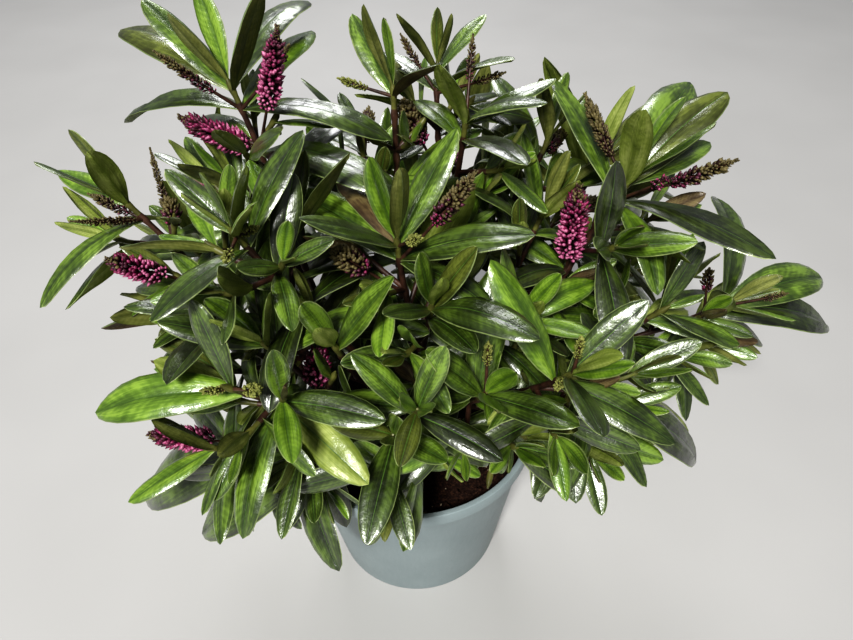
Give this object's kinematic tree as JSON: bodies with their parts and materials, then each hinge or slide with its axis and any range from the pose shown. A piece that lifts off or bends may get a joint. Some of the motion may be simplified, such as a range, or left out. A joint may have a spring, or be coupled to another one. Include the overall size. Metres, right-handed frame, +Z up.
{
  "type": "potted hebe shrub",
  "caption": "Rounded evergreen flowering shrub with glossy lance-shaped leaves in crossed pairs and short flower spikes, growing in a tapered round plastic pot.",
  "frame": {"origin": "middle of the pot's flat underside", "axes": "+Z up, -Y towards the front of the plant, +X to its right"},
  "size_m": [0.4099, 0.3021, 0.3539],
  "materials": {
    "pot": "matt grey-blue moulded plastic",
    "soil": "damp dark peat potting soil",
    "bark": "thin brown bark with leaf scars",
    "foliage": "glossy green leaves on brown twigs, purple-brown and magenta flower spikes"
  },
  "bodies": {
    "root": {"pot": "pot", "soil": "soil", "main_stem": "bark", "bough_left_back": "bark", "foliage_left_back": "foliage", "bough_left_tip": "bark", "foliage_left_tip": "foliage", "bough_left_front": "bark", "foliage_left_front": "foliage", "bough_front_left": "bark", "foliage_front_left": "foliage", "bough_front_left_low": "bark", "foliage_front_left_low": "foliage", "bough_centre_left": "bark", "foliage_centre_left": "foliage", "bough_centre": "bark", "foliage_centre": "foliage", "bough_top_back": "bark", "foliage_top_back": "foliage", "bough_top_right": "bark", "foliage_top_right": "foliage", "bough_right_back": "bark", "foliage_right_back": "foliage", "bough_right_tip": "bark", "foliage_right_tip": "foliage", "bough_right_front": "bark", "foliage_right_front": "foliage", "bough_front_right": "bark", "foliage_front_right": "foliage", "bough_front_middle": "bark", "foliage_front_middle": "foliage", "bough_front": "bark", "foliage_front": "foliage", "bough_inner_left": "bark", "foliage_inner_left": "foliage", "bough_centre_right": "bark", "foliage_centre_right": "foliage", "bough_back_right_top": "bark", "foliage_back_right_top": "foliage", "bough_back_left": "bark", "foliage_back_left": "foliage", "bough_back_middle": "bark", "foliage_back_middle": "foliage", "bough_back_right": "bark", "foliage_back_right": "foliage", "bough_right_back_low": "bark", "foliage_right_back_low": "foliage"}
  },
  "joints": []
}
